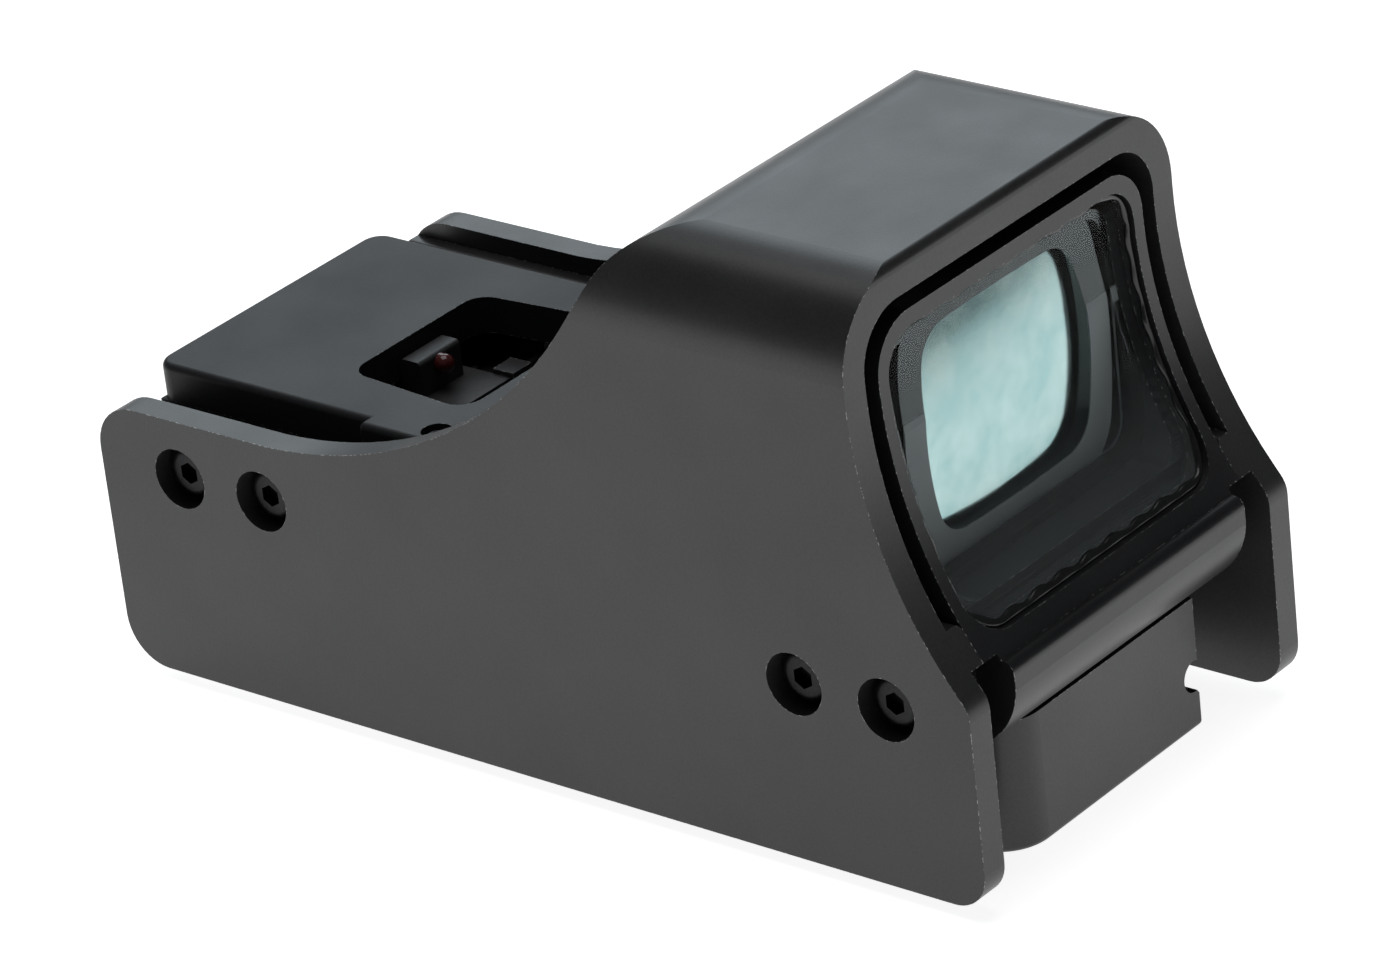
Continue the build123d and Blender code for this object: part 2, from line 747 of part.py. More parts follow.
with BuildPart() as elevation_spring:
    x, y = guide_spots[0]
    with Locations(upright(x, y, body_floor)):
        add(make_tube(*lift_spring_radii, platform_bottom - body_floor))
save(elevation_spring, "elevation_spring")

# Windage: the screw turns in the body's wall, its nut pushes the emitter block across the carriage
with BuildPart() as emitter_block:
    box_between((-block_half, block_half), (block_front, block_back), (platform_top + 0.02, block_top))
    box_between((-tower_half, tower_half), (tower_front, block_back), (block_top, tower_top))
    top_edges = emitter_block.edges().filter_by(Axis.X).group_by(Axis.Z)[-1]
    fillet(top_edges, radius=0.5)
    with Locations(facing_tail(0, tower_front + 1.5, led_height)):
        Cylinder(led_radius, 1.5, align=hanging, mode=Mode.SUBTRACT)
save(emitter_block, "emitter_block")

with BuildPart() as led_emitter:
    with Locations(facing_tail(0, tower_front + 1.5, led_height)):
        Cylinder(led_radius, 2.0, align=hanging)
    with Locations(upright(0, tower_front - 0.5, led_height)):
        Sphere(led_radius)
save(led_emitter, "led_emitter")

with BuildPart() as windage_nut:
    nut_low = windage_height - nut_half
    box_between(
        (nut_start, nut_start + nut_length), (windage_y - nut_half, windage_y + nut_half),
        (nut_low, windage_height + nut_half),
    )
    bore(facing_right(nut_start + nut_length, windage_y, windage_height), windage_kind[0] + gap, nut_length)
save(windage_nut, "windage_nut")

with BuildPart() as windage_screw:
    with Locations(facing_right(body_half - windage_sink, windage_y, windage_height)):
        add(make_screw(windage_kind, body_half - windage_sink - nut_start - 0.6))
save(windage_screw, "windage_screw")

with BuildPart() as windage_clip:
    with Locations(facing_left(rear_cavity_half - gap, windage_y, windage_height)):
        add(make_tube(1.5, windage_kind[0], clip_thickness))
save(windage_clip, "windage_clip")

with BuildPart() as windage_spring:
    with Locations(facing_right(spring_seat, windage_y, windage_height)):
        add(make_tube(*push_spring_radii, -spring_seat - block_half))
save(windage_spring, "windage_spring")

# Circuit board with its chips, and the screws on its standoffs
board_top = board_height + board_thickness
with BuildPart() as circuit_board:
    box_between((-board_half, board_half), (board_front, board_back), (board_height, board_top))
    for chip_x, chip_y, chip_height in chips:
        box_between(chip_x, chip_y, (board_top, board_top + chip_height))
    for x, y in standoff_spots:
        bore(upright(x, y, board_top), small_pan[0] + gap, board_thickness)
save(circuit_board, "circuit_board")

with BuildPart() as board_screws:
    board_screw = make_screw(small_pan, board_thickness + board_height - body_floor)
    with Locations([upright(x, y, board_top) for x, y in standoff_spots]):
        add(board_screw)
save(board_screws, "board_screws")

# Tail buttons, each with a spring on its stem and a switch on an upright board
with BuildPart() as switch_board:
    switch_board_x = (-switch_board_half, switch_board_half)
    box_between(switch_board_x, (switch_board_front, switch_board_back), (bay_roof, body_top))
save(switch_board, "switch_board")

with BuildPart() as switches:
    for sign in (-1, 1):
        middle = sign * button_x
        switch_x = (middle - switch_half, middle + switch_half)
        switch_z = (button_height - switch_half, button_height + switch_half)
        box_between(switch_x, (switch_board_back, switch_face), switch_z)
save(switches, "switches")

for name, sign in (("up", 1), ("down", -1)):
    middle = sign * button_x
    with BuildPart() as button:
        with BuildSketch(station(button_back)):
            with Locations((middle, base + button_height)):
                SlotOverall(button_length + 1.4, button_width + 1.0)
        extrude(amount=-button_flange)
        with BuildSketch(station(button_back + button_flange)):
            with Locations((middle, base + button_height)):
                SlotOverall(button_length, button_width)
        extrude(amount=button_back + button_flange - button_face)
        fillet(button.faces().sort_by(Axis.Y)[-1].edges(), radius=0.3)
        with Locations(facing_tail(middle, button_back, button_height)):
            Cylinder(button_stem_radius, button_stem_length, align=hanging)
    save(button, f"{name}_button")
    with BuildPart() as button_spring:
        with Locations(facing_tail(middle, switch_board_back, button_height)):
            add(make_tube(*key_spring_radii, button_back - switch_board_back))
    save(button_spring, f"{name}_button_spring")

# Battery tray with its coin cell, and the contacts in the bay
tray_half = bay_half - gap
tray_bottom = bay_bottom + gap
tray_top = bay_top - gap
tray_bed = tray_bottom + tray_floor
with BuildPart() as battery_tray:
    box_between((-tray_half, tray_half), (tray_front, body_end), (tray_bottom, tray_top))
    with Locations(upright(0, cell_y, tray_bed)):
        Cylinder(cell_radius + gap, 5, align=standing, mode=Mode.SUBTRACT)
    box_between(tray_mouth, (tray_front - 1, cell_y - 6), (tray_bed, tray_top + 1), mode=Mode.SUBTRACT)
    box_between(tray_slot, (tray_front - 1, cell_y + 3), (tray_bottom - 1, tray_bed + 1), mode=Mode.SUBTRACT)
    box_between(grip_x, (body_end, body_end + grip_depth), (tray_bottom + grip_inset, tray_top - grip_inset))
save(battery_tray, "battery_tray")

with BuildPart() as coin_cell:
    with Locations(upright(0, cell_y, tray_bed)):
        Cylinder(cell_radius, cell_height, align=standing)
    fillet(coin_cell.edges(), radius=0.4)
save(coin_cell, "coin_cell")

with BuildPart() as battery_contacts:
    box_between(low_contact, (bay_front, cell_y - 2), (bay_bottom, tray_bed - gap))
    box_between(high_contact, (bay_front, cell_y - 2), (tray_bed + cell_height + 0.03, bay_top))
save(battery_contacts, "battery_contacts")
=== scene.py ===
import json
import math

import bmesh
import bpy
from mathutils import Matrix, Vector


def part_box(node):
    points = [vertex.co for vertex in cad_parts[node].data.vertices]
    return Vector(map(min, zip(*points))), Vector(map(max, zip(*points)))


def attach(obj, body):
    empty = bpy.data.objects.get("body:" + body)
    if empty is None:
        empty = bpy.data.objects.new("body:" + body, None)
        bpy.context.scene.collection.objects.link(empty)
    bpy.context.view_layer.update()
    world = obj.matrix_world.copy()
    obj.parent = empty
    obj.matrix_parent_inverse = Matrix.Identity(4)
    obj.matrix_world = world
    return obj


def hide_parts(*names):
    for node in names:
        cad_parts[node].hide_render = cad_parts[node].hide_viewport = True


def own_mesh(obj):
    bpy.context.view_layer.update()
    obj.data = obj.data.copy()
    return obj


# Looks of the hooded red dot finder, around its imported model. Metres, in the model's own frame:
# +Z up, the window looks along -Y, the tail is at +Y.

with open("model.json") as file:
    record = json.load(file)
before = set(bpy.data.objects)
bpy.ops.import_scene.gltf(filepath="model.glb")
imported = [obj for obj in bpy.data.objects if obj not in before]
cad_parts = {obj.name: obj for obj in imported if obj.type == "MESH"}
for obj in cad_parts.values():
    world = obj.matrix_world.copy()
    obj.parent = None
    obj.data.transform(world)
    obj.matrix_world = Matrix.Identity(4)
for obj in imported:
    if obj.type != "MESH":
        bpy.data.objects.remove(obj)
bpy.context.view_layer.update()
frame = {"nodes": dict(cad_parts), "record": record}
nodes_of = frame["nodes"]

MM = 0.001
WHITE = (1.0, 1.0, 1.0)


# ---------------------------------------------------------------- camera

CAMERA_AZIMUTH = math.radians(48.755)
CAMERA_DROP = math.radians(26.385)
CAMERA_ROLL = math.radians(-6.51)
CAMERA_DISTANCE = 0.6464
CAMERA_TARGET = Vector((-0.0019, -0.0036, 0.0221))
SENSOR_WIDTH = 36.0
LENS_LENGTH = 176.07
CLIP_START = 0.05
CLIP_END = 20.0


def make_camera():
    """Long lens, looking down on the left side and the window, rolled a little."""
    ahead = Vector((
        math.sin(CAMERA_AZIMUTH) * math.cos(CAMERA_DROP),
        math.cos(CAMERA_AZIMUTH) * math.cos(CAMERA_DROP),
        -math.sin(CAMERA_DROP),
    ))
    level_right = Vector((math.cos(CAMERA_AZIMUTH), -math.sin(CAMERA_AZIMUTH), 0.0))
    level_up = level_right.cross(ahead)
    right = level_right * math.cos(CAMERA_ROLL) + level_up * math.sin(CAMERA_ROLL)
    up = right.cross(ahead)
    turn = Matrix((right, up, -ahead)).transposed()
    data = bpy.data.cameras.new("camera")
    data.sensor_width = SENSOR_WIDTH
    data.lens = LENS_LENGTH
    data.clip_start = CLIP_START
    data.clip_end = CLIP_END
    camera = bpy.data.objects.new("camera", data)
    bpy.context.scene.collection.objects.link(camera)
    camera.matrix_world = Matrix.Translation(CAMERA_TARGET - ahead * CAMERA_DISTANCE) @ turn.to_4x4()
    bpy.context.scene.camera = camera


make_camera()


# ---------------------------------------------------------------- studio

FLOOR_RADIUS = 3.0
FLOOR_SIDES = 96
FLOOR_GLOW = 0.88
FLOOR_GRAIN = 40.0
FLOOR_DARK = (0.78, 0.78, 0.78, 1.0)
FLOOR_LIGHT = (0.82, 0.82, 0.82, 1.0)

ROOM_COLOUR = (0.80, 0.86, 0.90, 1.0)
ROOM_STRENGTH = 0.08
SHEET_STRENGTH = 1.05

TOP_LIGHT_PLACE = (0.1, 0.15, 1.1)
TOP_LIGHT_AIM = (0.0, 0.0, 0.0)
TOP_LIGHT_SIZE = (0.9, 0.9)
TOP_LIGHT_POWER = 5.0

BACK_LIGHT_PLACE = (0.75, 0.68, 0.56)
BACK_LIGHT_AIM = (0.0, -0.02, 0.05)
BACK_LIGHT_SIZE = (0.8, 0.6)
BACK_LIGHT_POWER = 3.0
BACK_LIGHT_COLOUR = (0.85, 0.95, 1.0)


def make_floor():
    """Round pale sheet under the finder, which glows like a shadowless table."""
    mesh = bpy.data.meshes.new("floor")
    form = bmesh.new()
    bmesh.ops.create_circle(form, cap_ends=True, segments=FLOOR_SIDES, radius=FLOOR_RADIUS)
    form.to_mesh(mesh)
    form.free()
    floor = bpy.data.objects.new("floor", mesh)
    bpy.context.scene.collection.objects.link(floor)
    material = bpy.data.materials.new("floor_paper")
    material.use_nodes = True
    nodes = material.node_tree.nodes
    links = material.node_tree.links
    shader = nodes["Principled BSDF"]
    grain = nodes.new("ShaderNodeTexNoise")
    grain.inputs["Scale"].default_value = FLOOR_GRAIN
    ramp = nodes.new("ShaderNodeValToRGB")
    ramp.color_ramp.elements[0].color = FLOOR_DARK
    ramp.color_ramp.elements[1].color = FLOOR_LIGHT
    links.new(grain.outputs["Fac"], ramp.inputs["Fac"])
    links.new(ramp.outputs["Color"], shader.inputs["Base Color"])
    shader.inputs["Emission Color"].default_value = (*WHITE, 1.0)
    shader.inputs["Emission Strength"].default_value = FLOOR_GLOW
    shader.inputs["Roughness"].default_value = 0.9
    shader.inputs["Specular IOR Level"].default_value = 0.0
    mesh.materials.append(material)


def softbox(name, place, aim, size, power, colour):
    """Rectangular area light at a place, facing a point."""
    data = bpy.data.lights.new(name, "AREA")
    data.shape = "RECTANGLE"
    data.size, data.size_y = size
    data.energy = power
    data.color = colour
    light = bpy.data.objects.new(name, data)
    light.location = place
    light.rotation_euler = (Vector(aim) - Vector(place)).to_track_quat("-Z", "Y").to_euler()
    bpy.context.scene.collection.objects.link(light)


def make_world():
    """White behind the finder for the camera, a dim grey room for everything else."""
    world = bpy.data.worlds.new("room")
    bpy.context.scene.world = world
    world.use_nodes = True
    nodes = world.node_tree.nodes
    links = world.node_tree.links
    path = nodes.new("ShaderNodeLightPath")
    room = nodes["Background"]
    room.inputs["Color"].default_value = ROOM_COLOUR
    room.inputs["Strength"].default_value = ROOM_STRENGTH
    sheet = nodes.new("ShaderNodeBackground")
    sheet.inputs["Color"].default_value = (*WHITE, 1.0)
    sheet.inputs["Strength"].default_value = SHEET_STRENGTH
    mix = nodes.new("ShaderNodeMixShader")
    links.new(path.outputs["Is Camera Ray"], mix.inputs["Fac"])
    links.new(room.outputs["Background"], mix.inputs[1])
    links.new(sheet.outputs["Background"], mix.inputs[2])
    links.new(mix.outputs["Shader"], nodes["World Output"].inputs["Surface"])


make_floor()
make_world()
softbox("top_light", TOP_LIGHT_PLACE, TOP_LIGHT_AIM, TOP_LIGHT_SIZE, TOP_LIGHT_POWER, WHITE)
softbox("back_light", BACK_LIGHT_PLACE, BACK_LIGHT_AIM, BACK_LIGHT_SIZE, BACK_LIGHT_POWER,
        BACK_LIGHT_COLOUR)
scene = bpy.context.scene
scene.view_settings.view_transform = "Standard"
scene.view_settings.look = "None"


# ---------------------------------------------------------------- materials

def new_material(name):
    """Material with a Principled shader, and its node helpers."""
    material = bpy.data.materials.new(name)
    material.use_nodes = True
    tree = material.node_tree
    return material, tree.nodes, tree.links, tree.nodes["Principled BSDF"]


def texture_place(nodes):
    """Object coordinates, in metres."""
    return nodes.new("ShaderNodeTexCoord").outputs["Object"]


def noise(nodes, links, size, detail=2.0, rough=0.5):
    """Noise whose features are about the given size in metres."""
    texture = nodes.new("ShaderNodeTexNoise")
    texture.inputs["Scale"].default_value = 1.0 / size
    texture.inputs["Detail"].default_value = detail
    texture.inputs["Roughness"].default_value = rough
    links.new(texture_place(nodes), texture.inputs["Vector"])
    return texture.outputs["Fac"]


def remap(nodes, links, value, low, high, out_low, out_high):
    """Value from one range to another, clamped."""
    node = nodes.new("ShaderNodeMapRange")
    node.inputs["From Min"].default_value = low
    node.inputs["From Max"].default_value = high
    node.inputs["To Min"].default_value = out_low
    node.inputs["To Max"].default_value = out_high
    links.new(value, node.inputs["Value"])
    return node.outputs["Result"]


def blend_colours(nodes, links, factor, first, second):
    """Mix of two colours, each an RGB tuple or a socket."""
    node = nodes.new("ShaderNodeMix")
    node.data_type = "RGBA"
    links.new(factor, node.inputs["Factor"])
    for socket, colour in ((node.inputs[6], first), (node.inputs[7], second)):
        if isinstance(colour, tuple):
            socket.default_value = (*colour, 1.0)
        else:
            links.new(colour, socket)
    return node.outputs[2]


def combine(nodes, links, operation, first, second):
    """Math node on sockets or numbers."""
    node = nodes.new("ShaderNodeMath")
    node.operation = operation
    for socket, value in ((node.inputs[0], first), (node.inputs[1], second)):
        if isinstance(value, (int, float)):
            socket.default_value = value
        else:
            links.new(value, socket)
    return node.outputs[0]


def relief(nodes, links, height, depth, shader):
    """Bump of a depth in metres on a shader."""
    bump = nodes.new("ShaderNodeBump")
    bump.inputs["Strength"].default_value = 1.0
    bump.inputs["Distance"].default_value = depth
    links.new(height, bump.inputs["Height"])
    links.new(bump.outputs["Normal"], shader.inputs["Normal"])


EDGE_SAMPLES = 6
EDGE_DOT_OPEN = 0.985
EDGE_DOT_SHARP = 0.90


def edge_mask(nodes, links, radius):
    """1 on sharp edges, 0 on open faces."""
    bevel = nodes.new("ShaderNodeBevel")
    bevel.samples = EDGE_SAMPLES
    bevel.inputs["Radius"].default_value = radius
    geometry = nodes.new("ShaderNodeNewGeometry")
    dot = nodes.new("ShaderNodeVectorMath")
    dot.operation = "DOT_PRODUCT"
    links.new(bevel.outputs["Normal"], dot.inputs[0])
    links.new(geometry.outputs["Normal"], dot.inputs[1])
    return remap(nodes, links, dot.outputs["Value"], EDGE_DOT_OPEN, EDGE_DOT_SHARP, 0.0, 1.0)


CLOUD_SIZE = 14 * MM
BLAST_SIZE = 0.24 * MM
CLOUD_SHARE = 0.45
SMUDGE_SIZE = 9 * MM
SMUDGE_DEPTH = 0.035
WEAR_WIDTH = 0.12 * MM
WEAR_SPECK = 0.40 * MM
WEAR_MOST = 0.8
BARE_METAL = (0.62, 0.62, 0.60)


def anodised(name, dark, light, roughness, grain_depth, specular):
    """Black anodised, bead-blasted aluminium, with bare metal showing in specks on its edges."""
    material, nodes, links, shader = new_material(name)
    drift = noise(nodes, links, CLOUD_SIZE, 4.0, 0.55)
    fine = noise(nodes, links, BLAST_SIZE, 2.0, 0.6)
    cloud = combine(nodes, links, "ADD", combine(nodes, links, "MULTIPLY", drift, CLOUD_SHARE),
                    combine(nodes, links, "MULTIPLY", fine, 1.0 - CLOUD_SHARE))
    skin = blend_colours(nodes, links, remap(nodes, links, cloud, 0.35, 0.65, 0.0, 1.0), dark, light)
    specks = remap(nodes, links, noise(nodes, links, WEAR_SPECK, 2.0, 0.6), 0.54, 0.62, 0.0, WEAR_MOST)
    bare = combine(nodes, links, "MULTIPLY", edge_mask(nodes, links, WEAR_WIDTH), specks)
    colour = blend_colours(nodes, links, bare, skin, BARE_METAL)
    links.new(colour, shader.inputs["Base Color"])
    smudge = noise(nodes, links, SMUDGE_SIZE, 5.0, 0.6)
    sheen = remap(nodes, links, smudge, 0.3, 0.7, roughness - SMUDGE_DEPTH, roughness + SMUDGE_DEPTH)
    links.new(sheen, shader.inputs["Roughness"])
    shader.inputs["Specular IOR Level"].default_value = specular
    relief(nodes, links, fine, grain_depth, shader)
    return material


def plain_metal(name, dark, light, roughness):
    """Bright, blackened or brass metal with a fine mottle."""
    material, nodes, links, shader = new_material(name)
    mottle = noise(nodes, links, 0.3 * MM, 4.0, 0.7)
    shade = remap(nodes, links, mottle, 0.35, 0.65, 0.0, 1.0)
    links.new(blend_colours(nodes, links, shade, dark, light), shader.inputs["Base Color"])
    links.new(remap(nodes, links, mottle, 0.3, 0.7, roughness - 0.06, roughness + 0.08),
              shader.inputs["Roughness"])
    shader.inputs["Metallic"].default_value = 1.0
    relief(nodes, links, mottle, 0.003 * MM, shader)
    return material


def soft_black(name, dark, light, roughness, depth):
    """Rubber, sealant or moulded plastic."""
    material, nodes, links, shader = new_material(name)
    fine = noise(nodes, links, 0.5 * MM, 3.0, 0.6)
    shade = remap(nodes, links, fine, 0.35, 0.65, 0.0, 1.0)
    links.new(blend_colours(nodes, links, shade, dark, light), shader.inputs["Base Color"])
    patches = noise(nodes, links, 3 * MM)
    links.new(remap(nodes, links, patches, 0.3, 0.7, roughness - 0.05, roughness + 0.05),
              shader.inputs["Roughness"])
    relief(nodes, links, fine, depth, shader)
    return material


def band_mask(nodes, links, axis, low, high):
    """0 below and 1 above a band of one object coordinate, in metres."""
    parts = nodes.new("ShaderNodeSeparateXYZ")
    links.new(texture_place(nodes), parts.inputs["Vector"])
    return remap(nodes, links, parts.outputs[axis], low, high, 0.0, 1.0)


RING_FACE_FRONT = -40.20 * MM
RING_FACE_BACK = -39.90 * MM
RING_FACE_FADE = 0.05 * MM
# Grey painted on the ring's front face as painted light.
RING_PAINTED_LIGHT_GREY = (0.16, 0.16, 0.162)


def glossy_black_cell(name):
    """Gloss black sleeve; the front face of its raised ring is painted dull grey as painted light, for
    the light falling on that face, and is made rougher.
    """
    material, nodes, links, shader = new_material(name)
    fine = noise(nodes, links, 0.4 * MM, 3.0, 0.6)
    black = blend_colours(nodes, links, fine, (0.003, 0.003, 0.0035), (0.005, 0.005, 0.0055))
    behind = band_mask(nodes, links, "Y", RING_FACE_FRONT, RING_FACE_FRONT + RING_FACE_FADE)
    past = band_mask(nodes, links, "Y", RING_FACE_BACK - RING_FACE_FADE, RING_FACE_BACK)
    lit_ring_face_mask = combine(nodes, links, "MULTIPLY", behind, combine(nodes, links, "SUBTRACT", 1.0, past))
    # Painted light: the ring's front face gets grey in place of the gloss black.
    links.new(blend_colours(nodes, links, lit_ring_face_mask, black, RING_PAINTED_LIGHT_GREY), shader.inputs["Base Color"])
    links.new(remap(nodes, links, lit_ring_face_mask, 0.0, 1.0, 0.16, 0.42), shader.inputs["Roughness"])
    relief(nodes, links, fine, 0.0006 * MM, shader)
    return material


PANE_IOR = 1.07
PANE_DULL_BELOW = 26 * MM
PANE_CLEAR_ABOVE = 38 * MM
PANE_LEAST_CLEAR = 0.965


def clear_pane(name):
    """Clear coated glass, a little less clear towards its lower edge."""
    material, nodes, links, shader = new_material(name)
    smear = noise(nodes, links, 4 * MM, 5.0, 0.6)
    links.new(blend_colours(nodes, links, smear, (0.90, 0.98, 0.99), (0.97, 1.0, 1.0)),
              shader.inputs["Base Color"])
    links.new(remap(nodes, links, smear, 0.4, 0.75, 0.0, 0.004), shader.inputs["Roughness"])
    height = band_mask(nodes, links, "Z", PANE_DULL_BELOW, PANE_CLEAR_ABOVE)
    links.new(remap(nodes, links, height, 0.0, 1.0, PANE_LEAST_CLEAR, 1.0),
              shader.inputs["Transmission Weight"])
    shader.inputs["IOR"].default_value = PANE_IOR
    return material


MIRROR_TILT = (-0.205, 0.037, 0.174)


def mirror_coat(name):
    """Teal dichroic coating on the lens, cloudy, with its reflection turned a little by MIRROR_TILT."""
    material, nodes, links, shader = new_material(name)
    cloud = noise(nodes, links, 5 * MM, 4.0, 0.55)
    shade = remap(nodes, links, cloud, 0.35, 0.65, 0.0, 1.0)
    links.new(blend_colours(nodes, links, shade, (0.36, 0.50, 0.49), (0.50, 0.61, 0.59)),
              shader.inputs["Base Color"])
    links.new(remap(nodes, links, cloud, 0.3, 0.7, 0.16, 0.24), shader.inputs["Roughness"])
    shader.inputs["Metallic"].default_value = 1.0
    geometry = nodes.new("ShaderNodeNewGeometry")
    tilt = nodes.new("ShaderNodeVectorMath")
    tilt.operation = "ADD"
    tilt.inputs[1].default_value = MIRROR_TILT
    links.new(geometry.outputs["Normal"], tilt.inputs[0])
    level_off = nodes.new("ShaderNodeVectorMath")
    level_off.operation = "NORMALIZE"
    links.new(tilt.outputs["Vector"], level_off.inputs[0])
    links.new(level_off.outputs["Vector"], shader.inputs["Normal"])
    return material


def board_green(name):
    """Green solder mask in blocks, with lighter lines between them."""
    material, nodes, links, shader = new_material(name)
    grid = nodes.new("ShaderNodeTexBrick")
    grid.inputs["Scale"].default_value = 260.0
    grid.inputs["Color1"].default_value = (0.010, 0.060, 0.028, 1.0)
    grid.inputs["Color2"].default_value = (0.014, 0.080, 0.036, 1.0)
    grid.inputs["Mortar"].default_value = (0.030, 0.130, 0.060, 1.0)
    grid.inputs["Mortar Size"].default_value = 0.05
    links.new(texture_place(nodes), grid.inputs["Vector"])
    links.new(grid.outputs["Color"], shader.inputs["Base Color"])
    patches = noise(nodes, links, 1 * MM)
    links.new(remap(nodes, links, patches, 0.3, 0.7, 0.25, 0.4), shader.inputs["Roughness"])
    return material


def lamp_red(name):
    """Red of the emitter, made dark as painted shade of the deep well it sits in; unlit."""
    material, nodes, links, shader = new_material(name)
    cloud = noise(nodes, links, 0.6 * MM)
    # Very dark reds: the emitter's own red with painted shade of the well in it.
    links.new(blend_colours(nodes, links, cloud, (0.05, 0.008, 0.008), (0.10, 0.014, 0.012)),
              shader.inputs["Base Color"])
    shader.inputs["Roughness"].default_value = 0.12
    return material


PLATE = anodised("plate_black", (0.014, 0.014, 0.0145), (0.028, 0.0275, 0.0285), 0.36, 0.007 * MM, 0.5)
HOUSING = anodised("housing_black", (0.005, 0.005, 0.006), (0.013, 0.013, 0.0145), 0.34, 0.009 * MM, 0.5)
DECK = anodised("deck_black", (0.015, 0.015, 0.0165), (0.024, 0.024, 0.026), 0.44, 0.006 * MM, 0.22)
CELL = glossy_black_cell("cell_black")
CARRIAGE = anodised("carriage_black", (0.018, 0.018, 0.020), (0.026, 0.026, 0.028), 0.45, 0.004 * MM, 0.5)
BLACK_STEEL = plain_metal("black_steel", (0.018, 0.018, 0.019), (0.030, 0.030, 0.031), 0.36)
BRIGHT_STEEL = plain_metal("bright_steel", (0.50, 0.50, 0.51), (0.64, 0.64, 0.65), 0.28)
BRASS = plain_metal("brass", (0.55, 0.38, 0.14), (0.70, 0.50, 0.20), 0.30)
SEALANT = soft_black("sealant", (0.006, 0.006, 0.006), (0.012, 0.012, 0.012), 0.22, 0.01 * MM)
GASKET = soft_black("gasket_rubber", (0.012, 0.012, 0.012), (0.02, 0.02, 0.02), 0.7, 0.01 * MM)
BUTTON = soft_black("button_rubber", (0.022, 0.022, 0.024), (0.032, 0.032, 0.034), 0.62, 0.012 * MM)
MOULDING = soft_black("moulding", (0.016, 0.016, 0.017), (0.024, 0.024, 0.025), 0.5, 0.012 * MM)
SWITCH = soft_black("switch_body", (0.05, 0.05, 0.052), (0.075, 0.075, 0.078), 0.45, 0.006 * MM)
PANE = clear_pane("pane_glass")
REFLECTOR = mirror_coat("lens_coating")
BOARD = board_green("solder_mask")
LAMP = lamp_red("emitter_red_painted_shade")

FINISHES = {
    "plate": PLATE, "housing": HOUSING, "cell": CELL, "black_screw": BLACK_STEEL, "steel": BRIGHT_STEEL,
    "pane": PANE, "reflector": REFLECTOR, "sealant": SEALANT, "gasket": GASKET, "board": BOARD,
    "switch": SWITCH, "button": BUTTON, "moulding": MOULDING, "led": LAMP, "brass": BRASS,
    "carriage": CARRIAGE,
}


def dress(thing, material):
    """Gives a mesh one material."""
    thing.data.materials.clear()
    thing.data.materials.append(material)


for part in frame["record"]["subparts"]:
    dress(nodes_of[part["node"]], FINISHES[part["material_slot"]])
dress(nodes_of["deck_cover"], DECK)


# ---------------------------------------------------------------- sealant bead and springs

# Millimetres. In the side view the hood's front rim is an arc, upright above its centre.
RIM_CENTRE_Y = -85.65
RIM_CENTRE_Z = 50.3
RIM_RADIUS = 44.0
QUARTER_STEP = 6


def rim_depth(z, inset):
    """Y of the rim curve at a height, moved in by an inset, all in millimetres."""
    below = max(0.0, RIM_CENTRE_Z - z)
    return RIM_CENTRE_Y + math.sqrt((RIM_RADIUS + inset) ** 2 - below ** 2)


def rounded_loop(half, low, high, corner, step):
    """Points (x, z) and outward directions round a rounded rectangle, evenly spaced, in millimetres."""
    points = []
    middle = (low + high) / 2
    tall = (high - low) / 2
    arcs = ((half - corner, tall - corner, 0.0), (corner - half, tall - corner, 90.0),
            (corner - half, corner - tall, 180.0), (half - corner, corner - tall, 270.0))
    for x, z, start in arcs:
        for turn in range(0, 91, QUARTER_STEP):
            angle = math.radians(start + turn)
            out = (math.cos(angle), math.sin(angle))
            points.append((x + corner * out[0], middle + z + corner * out[1], out))
    dense = []
    for first, last in zip(points, points[1:] + points[:1]):
        gap = math.hypot(last[0] - first[0], last[1] - first[1])
        count = max(1, round(gap / step))
        for k in range(count):
            t = k / count
            out = Vector((first[2][0] * (1 - t) + last[2][0] * t, first[2][1] * (1 - t) + last[2][1] * t))
            out.normalize()
            dense.append((first[0] * (1 - t) + last[0] * t, first[1] * (1 - t) + last[1] * t, out))
    return dense


def tube_mesh(name, rings, closed):
    """Mesh through rings of points, each ring the same length."""
    mesh = bpy.data.meshes.new(name)
    form = bmesh.new()
    loops = [[form.verts.new(point) for point in ring] for ring in rings]
    sides = len(rings[0])
    pairs = list(zip(loops, loops[1:])) + ([(loops[-1], loops[0])] if closed else [])
    for first, last in pairs:
        for k in range(sides):
            form.faces.new((first[k], first[(k + 1) % sides], last[(k + 1) % sides], last[k]))
    if not closed:
        form.faces.new(loops[0])
        form.faces.new(loops[-1][::-1])
    bmesh.ops.recalc_face_normals(form, faces=form.faces)
    for face in form.faces:
        face.smooth = True
    form.to_mesh(mesh)
    form.free()
    thing = bpy.data.objects.new(name, mesh)
    bpy.context.scene.collection.objects.link(thing)
    return thing


BEAD_HALF_WIDTH = 18.48
BEAD_LOW = 25.27
BEAD_HIGH = 52.93
BEAD_CORNER = 3.8
BEAD_STEP = 0.35
BEAD_SIDES = 12
BEAD_WAVE = 3.9
BEAD_DRIFT = 0.71
BEAD_THIN = 0.20
BEAD_SWELL = 0.26
BEAD_CREEP = 0.18
BEAD_DEPTH = 0.28
BEAD_INSET = 0.68


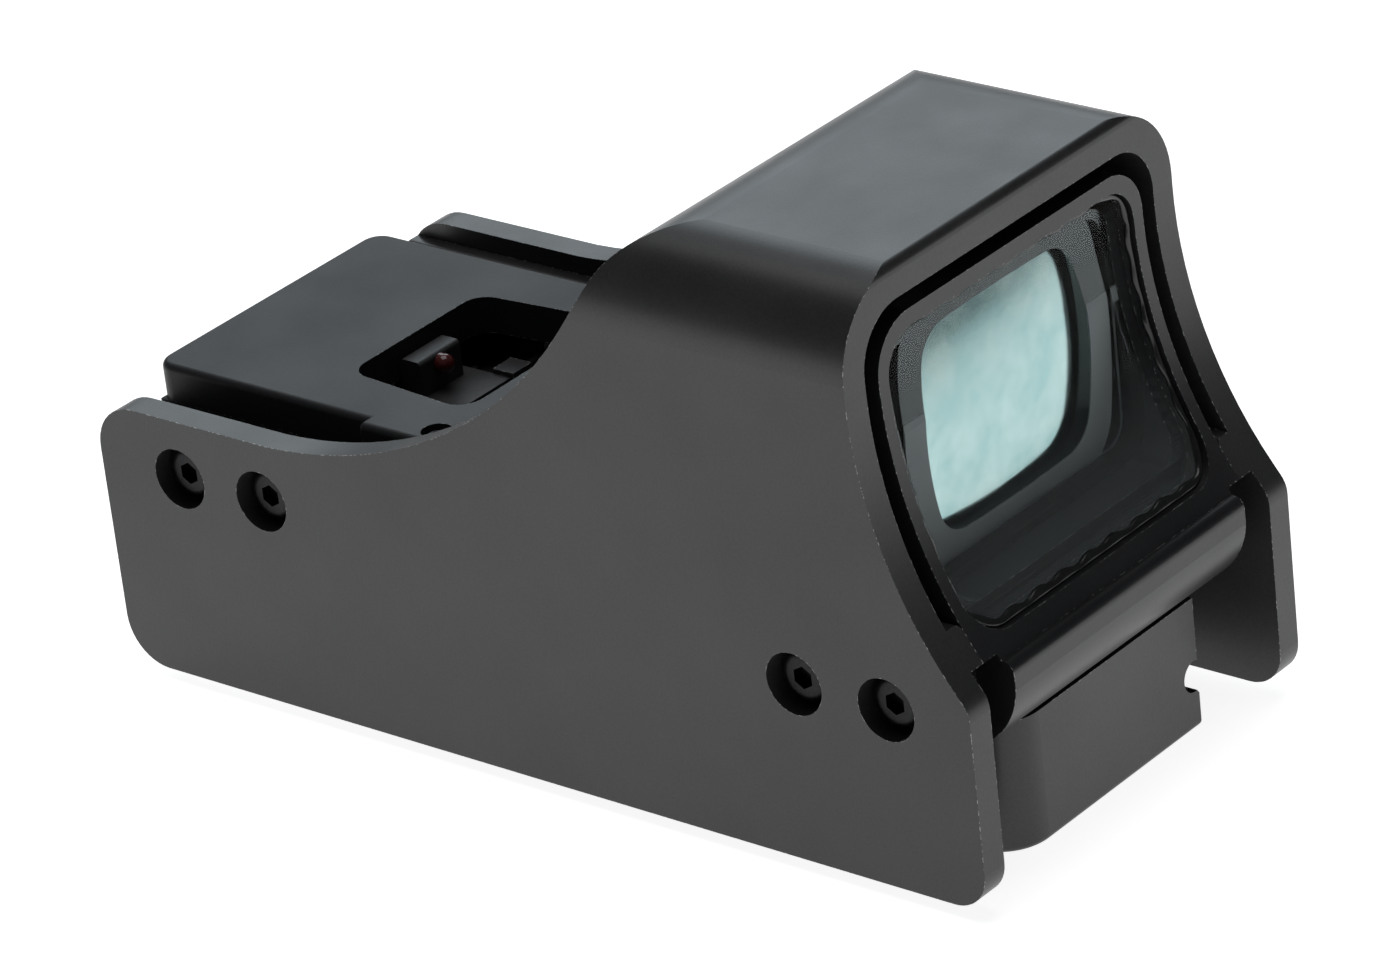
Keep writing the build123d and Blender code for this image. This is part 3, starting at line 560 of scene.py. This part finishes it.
def make_bead():
    """Hand-laid sealant in the gap round the pane, swelling and thinning along its way."""
    loop = rounded_loop(BEAD_HALF_WIDTH, BEAD_LOW, BEAD_HIGH, BEAD_CORNER, BEAD_STEP)
    rings = []
    travelled = 0.0
    for x, z, out in loop:
        travelled += BEAD_STEP
        short_wave = math.sin(travelled * 2 * math.pi / BEAD_WAVE)
        swell = 0.5 + 0.35 * short_wave + 0.15 * math.sin(travelled * BEAD_DRIFT)
        width = BEAD_THIN + BEAD_SWELL * swell
        centre = -BEAD_CREEP * swell
        ring = []
        for k in range(BEAD_SIDES):
            angle = 2 * math.pi * k / BEAD_SIDES
            across = centre + width * math.cos(angle)
            deep = BEAD_DEPTH * math.sin(angle)
            px = x + out[0] * across
            pz = z + out[1] * across
            ring.append((px * MM, rim_depth(pz, BEAD_INSET + deep) * MM, pz * MM))
        rings.append(ring)
    bead = tube_mesh("sealant_bead", rings, True)
    dress(bead, SEALANT)
    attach(bead, "frame")
    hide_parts("window_seal")


COIL_STEPS = 20
WIRE_SIDES = 8


def make_coil(name, node, body, axis, turns, wire, trim):
    """Coil spring in the place of a CAD tube, along one axis, kept inside the tube's box."""
    low, high = (Vector(corner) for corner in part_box(node))
    middle = (low + high) / 2
    others = [k for k in range(3) if k != axis]
    radius = (high[others[0]] - low[others[0]]) / 2 - wire
    start = low[axis] + wire
    length = high[axis] - low[axis] - 2 * wire - trim
    rings = []
    steps = turns * COIL_STEPS
    for i in range(steps + 1):
        angle = 2 * math.pi * i / COIL_STEPS
        centre = middle.copy()
        centre[axis] = start + length * i / steps
        centre[others[0]] += radius * math.cos(angle)
        centre[others[1]] += radius * math.sin(angle)
        outward = Vector((0.0, 0.0, 0.0))
        outward[others[0]] = math.cos(angle)
        outward[others[1]] = math.sin(angle)
        along = Vector((0.0, 0.0, 0.0))
        along[axis] = 1.0
        ring = []
        for k in range(WIRE_SIDES):
            around = 2 * math.pi * k / WIRE_SIDES
            ring.append(centre + outward * wire * math.cos(around) + along * wire * math.sin(around))
        rings.append(ring)
    coil = tube_mesh(name, rings, False)
    dress(coil, BRIGHT_STEEL)
    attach(coil, body)
    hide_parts(node)
    return coil, low


make_bead()
make_coil("lift_coil", "elevation_spring", "frame", 2, 6, 0.28 * MM, 0.55 * MM)
make_coil("push_coil", "windage_spring", "carriage", 0, 6, 0.18 * MM, 0.55 * MM)
for key in ("up", "down"):
    coil, low_end = make_coil(key + "_button_coil", key + "_button_spring", "frame", 1, 3, 0.14 * MM, 0.0)
    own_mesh(coil)
